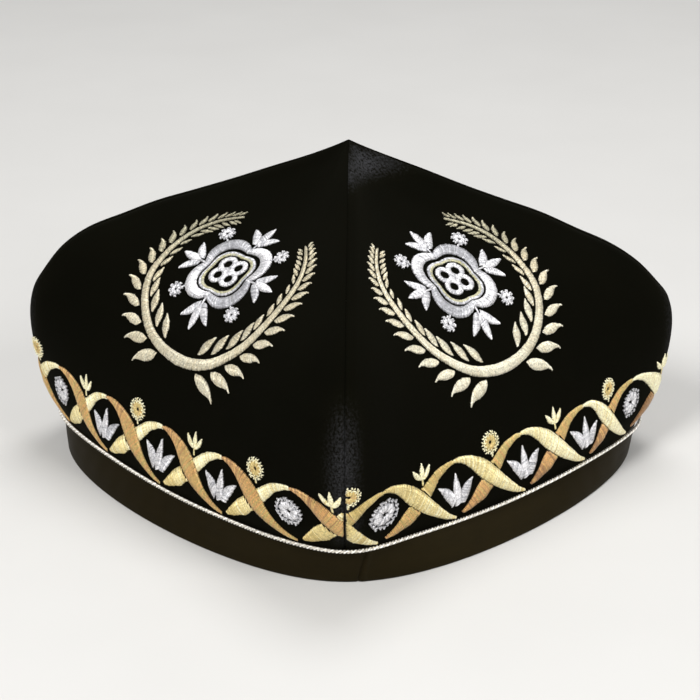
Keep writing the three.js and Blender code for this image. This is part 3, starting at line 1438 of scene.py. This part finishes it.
@dataclass(frozen=True)
class Drift:
    """Where a pattern sits on a gore: hand work is never quite even.

    A pattern is drawn with +x away from the front or back seam. Each row adds up: millimetres at
    the middle, then for 30 mm outwards, for 30 mm up, and for their squares and product.
    """

    hand: int
    across: tuple[float, ...]
    up: tuple[float, ...]
    middle: float = 72.0
    span: float = 30.0

    def move(self, at: Array) -> Array:
        """Moves cloth points from where they were drawn to where they were stitched.

        Args:
            at: points as the pattern was drawn.

        Returns:
            The points on the gore's cloth.
        """
        x = at[..., 0]
        side, lift = x / self.span, (at[..., 1] - self.middle) / self.span
        terms = (1 + 0 * side, side, lift, side * side, side * lift, lift * lift)
        moved = x + sum(share * term for share, term in zip(self.across, terms))
        raised = at[..., 1] + sum(share * term for share, term in zip(self.up, terms))
        return np.stack([moved * self.hand, raised], -1)


@dataclass(frozen=True)
class HandWork:
    """What differs from gore to gore: the painted light and shade of the thread, and where the
    pattern sits.
    """

    over: StrandTones
    under: StrandTones
    wreath: Drift
    flower: Drift
    pinch: float = 4.0
    near_eye: float = 1.0
    golden: float = 0.0
    # painted shade on the far spray: how much darker, over how far from the mid-line, from which
    # height, over how far
    far_fade: tuple[float, ...] = (0.42, 20.0, 58.0, 30.0)

    def wreathed(self, drawn: Stitches) -> Stitches:
        """Sets the wreath on the gore, its far spray painted darker towards the top as painted
        shade.

        Args:
            drawn: the wreath as it was drawn.

        Returns:
            The stitches.
        """
        made = drawn.moved(self.wreath.move)
        strength, side, start, span = self.far_fade
        x, y = ((drawn.starts + drawn.ends) / 2).T
        # painted shade: the far spray darker towards its top
        painted_shade = strength * np.clip(x / side, 0, 1) * np.clip((y - start) / span, 0, 1)
        made.tone = made.tone - self.golden - painted_shade
        return made


# painted light and shade: the one gold thread painted cream where a strand's slant catches the
# light, and olive and orange where it does not; mirrored between neighbouring gores
CREAM_OVER = StrandTones((0.6, 0.68, 0.85), (1.05, 1.05, 1.0))
OLIVE_UNDER = StrandTones((0.5, 0.5, 0.42), (0.42, 0.12, -0.3))
ORANGE_OVER = StrandTones((0.04, 0.3, 0.36), (0.1, 0.3, 0.26))
CREAM_UNDER = StrandTones((0.98, 0.85, 0.45), (1.0, 0.85, 0.78))
HAND_WORK = {
    Quarter.FRONT_RIGHT: HandWork(
        CREAM_OVER,
        OLIVE_UNDER,
        Drift(1, (-2.47, -0.05, -2.83, -0.89, 1.8, -0.1), (0.28, 1.13, 0.57, -0.12, 0.28, -0.62)),
        Drift(1, (-1.26, 0.01, -1.25, -1.27, 1.2, -1.43), (-0.14, 1.33, -0.3, 3.32, -0.5, 0.2)),
        pinch=5.2,
    ),
    Quarter.FRONT_LEFT: HandWork(
        ORANGE_OVER,
        CREAM_UNDER,
        Drift(-1, (0.3, 0.3, -3.07, -1.63, -0.11, -1.98), (0.14, 0.27, -0.49, -0.16, -0.66, -1.26)),
        Drift(-1, (1.9, 0.04, -1.71, -2.99, -0.75, -2.59), (0.44, 0.17, -1.06, 2.17, -0.3, -0.51)),
        pinch=3.0,
        near_eye=0.87,
        golden=0.14,
    ),
    Quarter.BACK_RIGHT: HandWork(
        ORANGE_OVER,
        CREAM_UNDER,
        Drift(-1, (-1.1, 0.1, -2.9, -1.2, 0.9, -1.0), (0.2, 0.7, 0.1, -0.1, -0.2, -0.9)),
        Drift(-1, (0.3, 0.0, -1.5, -2.0, 0.2, -2.0), (0.2, 0.7, -0.7, 2.7, -0.4, -0.2)),
        golden=0.07,
    ),
    Quarter.BACK_LEFT: HandWork(
        CREAM_OVER,
        OLIVE_UNDER,
        Drift(1, (-0.9, 0.2, -2.8, -1.1, 0.6, -1.2), (0.3, 0.6, 0.2, -0.1, -0.3, -0.8)),
        Drift(1, (0.1, 0.1, -1.4, -1.8, 0.4, -1.8), (0.1, 0.6, -0.6, 2.5, -0.4, -0.1)),
        golden=0.03,
    ),
}


@dataclass
class InterlacedBorder:
    """The border: strands that cross and part round eyes, with a tulip or rosette in each eye."""

    needle: Needle
    pitch: float = 30.1
    crossings: tuple[float, ...] = (-75.4, -45.2, -15.1, 15.1, 45.2, 75.4)
    tulips: tuple[float, ...] = (-30.1, 0.0, 30.1)
    end_eyes: tuple[float, ...] = (-59.6, 59.6)
    rosettes: Table = ((-73.4, 22.9), (-13.6, 21.8), (45.7, 22.2))
    sprigs: tuple[float, ...] = (-43.7, 16.1, 75.2)
    even_to: float = 34.0
    seam_at: float = 84.0
    # how far the ends rise towards the side seam, over which stretch, and from which height
    end_rise: float = 1.8
    rise_from: float = 40.0
    rise_to: float = 62.0
    rise_above: float = 12.0
    eye_height: float = 12.2
    tulip_foot: float = 5.3
    sprig_foot: float = 18.4
    over_rise: float = 0.85
    under_rise: float = 0.55
    # rosettes in the end eyes: half length and height, number of loops and their radius
    near_eye: tuple[float, ...] = (4.6, 3.5, 20, 0.7)
    far_eye: tuple[float, ...] = (3.2, 3.9, 18, 0.45)
    # in degrees, in the right eye and in the left one
    eye_tilts: tuple[float, float] = (-24.0, 30.0)
    # upper edge x and y, lower edge x and y, from the upper left tip to the lower right one
    over: Table = (
        (-15.9, 20.5, -15.9, 19.9),
        (-14.2, 21.1, -13.8, 19.6),
        (-11.2, 21.2, -10.6, 18.2),
        (-7.2, 20.3, -7.8, 15.7),
        (-3.0, 18.5, -5.6, 13.0),
        (0.4, 16.1, -3.3, 10.6),
        (3.4, 13.0, -0.4, 8.2),
        (6.3, 9.6, 3.4, 5.7),
        (9.6, 6.2, 8.2, 3.1),
        (12.4, 3.6, 11.8, 1.4),
        (15.6, 1.5, 15.4, 0.4),
    )
    # the same for the strand below, from the upper right tip to the lower left one
    under: Table = (
        (14.4, 21.0, 15.2, 19.5),
        (12.6, 21.0, 13.0, 19.1),
        (10.2, 20.6, 11.2, 18.1),
        (7.3, 19.8, 8.9, 16.7),
        (4.5, 18.2, 7.0, 14.4),
        (1.8, 16.2, 4.9, 12.0),
        (-1.4, 13.8, 2.2, 9.2),
        (-4.2, 11.4, -0.6, 6.6),
        (-6.8, 9.4, -3.0, 4.4),
        (-8.6, 7.3, -5.9, 3.4),
        (-10.6, 5.0, -8.7, 2.2),
        (-12.6, 2.7, -11.6, 1.7),
    )

    def hidden(self, at: Array) -> Array:
        """Tells whether cloth points lie under the upper strand of their crossing.

        Args:
            at: the cloth points.

        Returns:
            True for each point that does.
        """
        table = np.array(self.over)
        fine = smooth_rows(table, np.linspace(0, len(table) - 1, 60))
        outline = np.concatenate([fine[:, :2], fine[::-1, 2:]])
        x = at[..., 0] - self.pitch * np.round((at[..., 0] - self.pitch / 2) / self.pitch)
        x = x - self.pitch / 2
        y, inside = at[..., 1], np.zeros(at.shape[:-1], bool)
        for one, two in zip(outline, np.roll(outline, -1, 0)):
            crosses = (one[1] > y) != (two[1] > y)
            level = (two[0] - one[0]) * (y - one[1]) / (two[1] - one[1] + 1e-12) + one[0]
            inside ^= crosses & (x < level)
        return inside

    def pinched(self, drawn: Stitches, work: HandWork) -> Stitches:
        """The border as it was stitched, drawn up a little towards the side seam.

        Args:
            drawn: the border as it was drawn.
            work: how the gore was stitched.

        Returns:
            The stitches.
        """
        hand = work.wreath.hand

        def move(at: Array) -> Array:
            """Moves cloth points inwards, most of all half-way along the pinched end, and up.

            Args:
                at: the points.

            Returns:
                The moved points.
            """
            out, up = at[..., 0] * hand, at[..., 1]
            along = np.clip((out - self.even_to) / (self.seam_at - self.even_to), 0, 1)
            inward = work.pinch * np.sin(np.pi * along)
            far = np.clip((out - self.rise_from) / (self.rise_to - self.rise_from), 0, 1)
            rise = self.end_rise * far * np.clip(up / self.rise_above, 0, 1)
            return np.stack([(out - inward) * hand, up + rise], -1)

        return drawn.moved(move)

    def strands(self, work: HandWork) -> Stitches:
        """Both strands, the lower one cut where it passes under.

        Args:
            work: how the gore was stitched.

        Returns:
            The stitches.
        """
        made = Stitches()
        over, under = np.array(self.over), np.array(self.under)
        for crossing in self.crossings:
            shift = np.array([crossing, 0.0])
            away = (1 + work.wreath.hand * crossing / self.crossings[-1]) / 2
            above = self.needle.across(over, self.over_rise, work.over.along(away))
            below = self.needle.across(under, self.under_rise, work.under.along(away))
            made.add(above.moved(lambda at: at + shift))
            made.add(below.moved(lambda at: at + shift).kept(lambda at: ~self.hidden(at)))
        return made

    def tops(self) -> Stitches:
        """The small gold rosettes and sprigs above the crossings.

        Returns:
            The stitches.
        """
        made, needle = Stitches(), self.needle
        for place in self.rosettes:
            centre = np.array(place)
            made.add(needle.rosette(centre, radius=3.8, knots=11, tone=1.1, middle_tone=0.45))
            made.add(needle.stem(centre + (0.3, -3.1), centre + (0.6, -5.0), tone=0.95))
        for x in self.sprigs:
            foot = np.array([x, self.sprig_foot])
            made.add(needle.spray(foot, SPRIG))
            made.add(needle.stem(foot + (0.0, 0.6), foot + (0.3, -2.0), tone=0.8))
        return made

    def fillings(self, work: HandWork) -> Stitches:
        """The silver tulips and rosettes inside the eyes.

        Args:
            work: how the gore was stitched.

        Returns:
            The stitches.
        """
        made = Stitches()
        for x in self.tulips:
            made.add(self.needle.spray(np.array([x, self.tulip_foot]), TULIP))
        for x in self.end_eyes:
            made.add(self.eye_rosette(x, work))
        return made

    def eye_rosette(self, x: float, work: HandWork) -> Stitches:
        """The silver rosette in an end eye: a ragged oval with small loops round it.

        Args:
            x: where the eye lies across the gore.
            work: how the gore was stitched.

        Returns:
            The stitches.
        """
        needle, centre = self.needle, np.array([x, self.eye_height])
        tilt = math.radians(self.eye_tilts[0] if x > 0 else self.eye_tilts[1])
        near = x * work.wreath.hand < 0
        length, height, knots, loop = self.near_eye if near else self.far_eye
        size = work.near_eye if near else 1.0

        def oval(angle: Array, long: float, short: float) -> Array:
            """Radius of a tilted oval, a little ragged."""
            round_it = np.hypot(np.cos(angle - tilt) / long, np.sin(angle - tilt) / short)
            return (1 + 0.05 * np.sin(11 * angle)) * size / round_it

        made = needle.ring(
            centre,
            lambda a: oval(a, 1.0, 0.6) * (1 + 0.4 * np.sin(5 * a)),
            lambda a: oval(a, length, height),
            0.55,
            lambda a: 0.98 + 0.16 * np.sin(9 * a),
        )
        for angle in 2 * np.pi * np.arange(knots) / knots:
            spot = centre + unit(angle) * oval(angle, length + loop, height + loop)
            made.add(needle.rosette(spot, loop, 3, 0.95 + 0.1 * math.sin(5 * angle)))
        return made


@dataclass(frozen=True)
class LeafRow:
    """How the leaves on one side of the wreath's stem are cut and shaded."""

    outline: LeafOutline
    # from the stem's mid-line at its top, and what is added towards its foot
    gap: tuple[float, float]
    # share of the length, what that loses towards the top, and what is added
    width: Triple
    tone: float
    rise: float = 0.5
    bow: float = 0.0
    hook: float = 0.0


OUTER = LeafRow(LeafOutline.WREATH, (1.15, 1.75), (0.33, 0.05, 0.35), 0.9, bow=-0.033, hook=0.17)
INNER = LeafRow(LeafOutline.SLIM, (1.35, 1.6), (0.36, 0.0, 0.15), 0.88, rise=0.4)


@dataclass
class Wreath:
    """Two sprays of leaves that rise from the bottom and lean together at the top."""

    needle: Needle
    # the right-hand stem: x and y
    stem: Table = (
        (0.0, 43.2), (5.0, 43.6), (10.5, 44.9), (15.8, 47.3), (21.0, 51.5), (24.9, 56.2),
        (27.4, 61.1), (28.9, 66.3), (29.3, 72.0), (29.2, 77.7), (28.2, 83.6), (26.2, 88.5),
        (22.5, 93.4), (16.8, 97.6),
    )
    # place along the stem and length of each outer leaf
    outer: Table = (
        (9.1, 11.7), (15.5, 10.7), (21.4, 9.6), (27.5, 9.1), (32.9, 8.7), (38.2, 8.4),
        (42.8, 8.1), (48.0, 7.4), (52.3, 6.9), (56.3, 5.8), (59.8, 5.4), (62.7, 5.1),
        (65.5, 4.8), (68.2, 4.2), (70.3, 3.9), (72.5, 3.4), (74.4, 2.9),
    )
    # place along the stem, length and lean of each inner leaf
    inner: Table = (
        (9.0, 8.4, 45.0), (15.6, 8.3, 39.0), (22.4, 8.2, 28.0), (29.1, 7.3, 25.0),
        (35.3, 6.2, 21.0), (42.3, 5.3, 17.0), (47.7, 4.8, 24.0), (53.1, 4.0, 21.0),
        (57.9, 4.3, 31.0), (61.6, 4.5, 44.0), (64.3, 4.1, 46.0), (66.6, 3.9, 47.0),
        (69.2, 3.6, 44.0), (71.8, 3.4, 41.0), (73.3, 3.0, 37.0),
    )
    outer_lean: float = 32.1
    stem_width: float = 3.9
    tip_width: float = 1.0
    stem_rows: int = 40
    stem_rise: float = 0.6
    stem_slant: float = 1.5
    dulling: float = 0.25

    def stitches(self) -> Stitches:
        """The stem and leaves of both halves.

        Returns:
            The stitches.
        """
        half = Stitches()
        fine = smooth_rows(np.array(self.stem), np.linspace(0, len(self.stem) - 1, 800))
        run = run_along(fine)
        total = run[-1]

        def on_stem(s: float) -> tuple[Array, Array, Array]:
            """Point, forward direction and left side at a length along the stem.

            Args:
                s: the length along the stem, in millimetres.

            Returns:
                The three of them.
            """
            at, ahead, back = (
                np.array([np.interp(v, run, fine[:, axis]) for axis in (0, 1)])
                for v in (s, min(s + 0.5, total), max(s - 0.5, 0))
            )
            forward = (ahead - back) / np.linalg.norm(ahead - back)
            return at, forward, np.array([-forward[1], forward[0]])

        def stem_tone(t: Array) -> Array:
            """Shade of the stem, brightest at the foot of the wreath."""
            return 0.95 - 0.3 * np.abs(2 * t - 1) ** 2 + 0.06 * np.sin(17 * t)

        right = []
        for s in np.linspace(0, total, self.stem_rows):
            at, _, left = on_stem(s)
            slim = (1 - s / total) ** 0.7
            width = (self.stem_width - self.tip_width) * slim + self.tip_width
            right.append((*(at + left * width / 2), *(at - left * width / 2)))
        mirrored = np.array(right[:0:-1]) * (-1.0, 1.0, -1.0, 1.0)
        rows = np.concatenate([mirrored, np.array(right)])
        whole = self.needle.across(rows, self.stem_rise, stem_tone, self.stem_slant)
        leaves = [(OUTER, s, length, -self.outer_lean) for s, length in self.outer]
        leaves += [(INNER, *leaf) for leaf in self.inner]
        for row, s, length, lean in leaves:
            (at, forward, left), up, turn = on_stem(s), s / total, math.radians(lean)
            side = left * math.copysign(1, lean)
            base = at + side * (row.gap[0] + row.gap[1] * (1 - up))
            tip = base + (forward * math.cos(turn) + left * math.sin(turn)) * length
            width = length * (row.width[0] - row.width[1] * up) + row.width[2]
            shape = row.outline, row.bow * length, row.hook * length, row.rise
            half.add(self.needle.leaf(base, tip, width, row.tone - self.dulling * up**2, *shape))
        whole.add(half)
        whole.add(half.moved(lambda at: at * (-1.0, 1.0)))
        return whole


@dataclass
class LobedFlower:
    """The flower: four white lobes, a straw ring and a white middle, with sprigs and rosettes."""

    needle: Needle
    centre: tuple[float, float] = (0.0, 74.8)
    lobe_out: float = 7.75
    lobe_radius: float = 7.9
    rim_axis: float = 9.0
    rim_diagonal: float = 10.95
    # the two rings inside it: inset on the axes and on the diagonals, and shade
    rings: Table = ((0.55, 0.85, 0.85), (1.15, 1.6, 0.15))
    ring_width: tuple[float, float] = (0.95, 1.3)
    ring_shift: tuple[float, float] = (0.13, -0.47)
    petals_shift: tuple[float, float] = (0.33, 0.2)
    petal_out: float = 3.55
    petal_radius: float = 3.4
    petal_hole: float = 1.45
    rosette_at: tuple[float, float] = (13.9, 13.1)
    sprig_out: float = 11.0
    # turn and extra length of the sprigs: outwards, up, inwards, down
    sprigs: Table = ((0.03, -0.2), (0.02, -0.6), (-0.01, 0.0), (-0.02, 0.7))

    def from_diagonal(self, angle: Array) -> Array:
        """The angle from the nearest diagonal."""
        return (angle % (np.pi / 2)) - np.pi / 4

    def lobes(self, angle: Array) -> Array:
        """Radius of the outline of the four lobes.

        Args:
            angle: the way out from the middle, in radians.

        Returns:
            The radius, in millimetres.
        """
        off = self.from_diagonal(angle)
        chord = np.sqrt(self.lobe_radius**2 - (self.lobe_out * np.sin(off)) ** 2)
        return self.lobe_out * np.cos(off) + chord

    def rim(self, angle: Array, axis_inset: float = 0.0, diagonal_inset: float = 0.0) -> Array:
        """Radius of the inner edge of the white band, or of a line inside it.

        Args:
            angle: the way out from the middle, in radians.
            axis_inset: how far inside it the line lies, straight out, up, in or down.
            diagonal_inset: the same on the diagonals.

        Returns:
            The radius, in millimetres.
        """
        swell = np.cos(2 * self.from_diagonal(angle)) ** 1.5
        axis, diagonal = self.rim_axis - axis_inset, self.rim_diagonal - diagonal_inset
        return axis + (diagonal - axis) * swell

    def stitches(self) -> Stitches:
        """The whole flower.

        Returns:
            The stitches.
        """
        made, needle, centre = Stitches(), self.needle, np.array(self.centre)
        # painted shade and highlight on the white band: two opposite lobes greyer and the other two
        # lighter, by how the light falls on threads of each slant
        white = self.rim, self.lobes, 0.75, lambda a: 0.86 - 0.17 * np.sin(2 * a)
        made.add(needle.ring(centre, *white))
        inside = centre + self.ring_shift
        wide, wider = self.ring_width
        for axis, diagonal, tone in self.rings:
            made.add(
                needle.ring(
                    inside,
                    lambda a: self.rim(a, axis + wide, diagonal + wider),
                    lambda a: self.rim(a, axis, diagonal),
                    0.35,
                    lambda a: tone + 0.05 * np.sin(7 * a),
                )
            )
        for quarter, (turn, longer) in enumerate(self.sprigs):
            angle = quarter * np.pi / 2
            made.add(self.petal(centre + self.petals_shift, np.pi / 4 + angle))
            root, out = centre + unit(angle) * self.sprig_out, unit(angle + turn)
            made.add(needle.stem(root - out * 0.6, root + out * 3.4, tone=0.95))
            made.add(needle.spray(root, FLOWER_SPRIG, out, longer))
        for across in (-1, 1):
            for up in (-1, 1):
                spot = centre + np.array(self.rosette_at) * (across, up)
                made.add(needle.rosette(spot, radius=2.85, knots=8, tone=1.0, middle_tone=0.95))
                inward = (centre - spot) / np.linalg.norm(centre - spot)
                made.add(needle.stem(spot + inward * 2.4, spot + inward * 4.0, tone=0.9))
        return made

    def petal(self, middle: Array, angle: float) -> Stitches:
        """One of the four looped petals in the middle, stitched round its dark eye.

        Args:
            middle: middle of the flower.
            angle: the way the petal points, in radians.

        Returns:
            The stitches.
        """
        spot = middle + unit(angle) * self.petal_out
        closing = self.petal_out - self.petal_radius
        return self.needle.ring(
            spot,
            lambda a: self.petal_hole + 0 * a,
            lambda a: self.petal_radius + closing * np.maximum(0, -np.cos(a - angle)) ** 6,
            0.5,
            lambda a: 0.95 + 0.06 * np.sin(3 * a),
        )


@dataclass(frozen=True)
class Studio:
    """A plain pale floor, soft lights and the camera at the photograph's angle."""

    azimuth: float = 2.4
    elevation: float = 24.05
    distance: float = 650.0
    aim: Triple = (0.45, 0.0, 33.55)
    focal_pixels: float = 1894.0
    frame_pixels: float = 700.0
    floor_reach: float = 1500.0
    floor_rows: int = 13
    floor_sunk: float = 0.05
    # name, place in metres, size and power
    lights: tuple[tuple[str, Triple, float, float], ...] = (
        ("key_light", (-0.55, -0.9, 1.15), 0.5, 16.0),
        ("side_light", (0.95, -0.65, 0.8), 0.6, 9.0),
        ("top_light", (0.1, 0.5, 1.3), 0.7, 8.0),
    )

    def floor(self) -> Object:
        """The floor.

        Returns:
            The floor.
        """
        rows = np.linspace(-self.floor_reach, self.floor_reach, self.floor_rows)
        x, y = np.meshgrid(rows, rows)
        points = np.stack([x, y, np.zeros_like(x) - self.floor_sunk], -1).reshape(-1, 3)
        desk = NodeDesk("pale_floor")
        desk.fixed(Roughness=0.6, Specular_IOR_Level=0.3)
        grain = desk.noise(desk.solid(14.0), detail=2.0)
        pale = ((0.0, (0.60, 0.59, 0.57)), (1.0, (0.64, 0.63, 0.61)))
        desk.feed("Base Color", desk.ramp(grain, pale))
        faces = [grid_faces(self.floor_rows, self.floor_rows)]
        made = build_mesh("floor", points, faces, [desk.material])
        return made

    def light(self, name: str, place: Triple, size: float, power: float) -> Object:
        """An area light, in metres, aimed at the cap.

        Args:
            name: its name.
            place: where it hangs, in metres.
            size: its width, in metres.
            power: its power, in watts.

        Returns:
            The light.
        """
        data = bpy.data.lights.new(name, "AREA")
        data.shape, data.size, data.energy = "DISK", size, power
        made = bpy.data.objects.new(name, data)
        made.location = place
        made.rotation_mode = "QUATERNION"
        towards = Vector((0, 0, 0.05)) - Vector(place)
        made.rotation_quaternion = towards.to_track_quat("-Z", "Y")
        bpy.context.scene.collection.objects.link(made)
        return made

    def build(self) -> None:
        """Sets out the floor, lights, sky and camera."""
        self.floor()
        for light in self.lights:
            self.light(*light)
        world = bpy.data.worlds.new("pale_room")
        world.use_nodes = True
        sky = world.node_tree.nodes["Background"]
        sky.inputs["Color"].default_value = (0.86, 0.87, 0.88, 1.0)
        sky.inputs["Strength"].default_value = 0.4
        bpy.context.scene.world = world
        bpy.context.scene.view_settings.view_transform = "Standard"
        turn, lift = math.radians(self.azimuth), math.radians(self.elevation)
        back = Vector(
            (math.sin(turn) * math.cos(lift), -math.cos(turn) * math.cos(lift), math.sin(lift))
        )
        data = bpy.data.cameras.new("camera")
        data.sensor_width = 36.0
        data.lens = self.focal_pixels / self.frame_pixels * data.sensor_width
        data.clip_start, data.clip_end = 0.05, 20.0
        camera = bpy.data.objects.new("camera", data)
        camera.location = (Vector(self.aim) + back * self.distance) * MM
        camera.rotation_mode = "QUATERNION"
        camera.rotation_quaternion = (-back).to_track_quat("-Z", "Y")
        bpy.context.scene.collection.objects.link(camera)
        bpy.context.scene.camera = camera


def report(piece: Object) -> None:
    """Logs a piece with its number of faces."""
    LOG.info("%s: %d faces", piece.name, len(piece.data.polygons))


def main() -> None:
    """Builds the cap piece by piece."""
    logging.basicConfig(level=logging.INFO, format="%(message)s")
    Studio().build()
    shape, needle = CapShape(), Needle()
    velvet, lining = VelvetFinish().material(), LiningFinish().material()
    gold, pale_gold, silver = GOLD.material(), PALE_GOLD.material(), SILVER.material()
    for quarter in Quarter:
        report(VelvetGore(shape, quarter).build(velvet, lining))
    report(SatinBand(shape).build(SatinFinish().material()))
    report(TwistedCord(shape).build(CORD_SILVER.material()))
    border, wreath = InterlacedBorder(needle), Wreath(needle).stitches()
    flower, tops = LobedFlower(needle).stitches(), border.tops()
    for quarter in Quarter:
        cloth, label, work = GoreCloth(shape, quarter), quarter.label, HAND_WORK[quarter]
        strands = border.strands(work)
        strands.add(tops)
        for name, stitches, finish in (
            ("border", border.pinched(strands, work), gold),
            ("border_filling", border.pinched(border.fillings(work), work), silver),
            ("wreath", work.wreathed(wreath), pale_gold),
            ("flower", flower.moved(work.flower.move), silver),
        ):
            report(needle.embroider(f"{name}_{label}", stitches, cloth, finish))


if __name__ == "__main__":
    main()
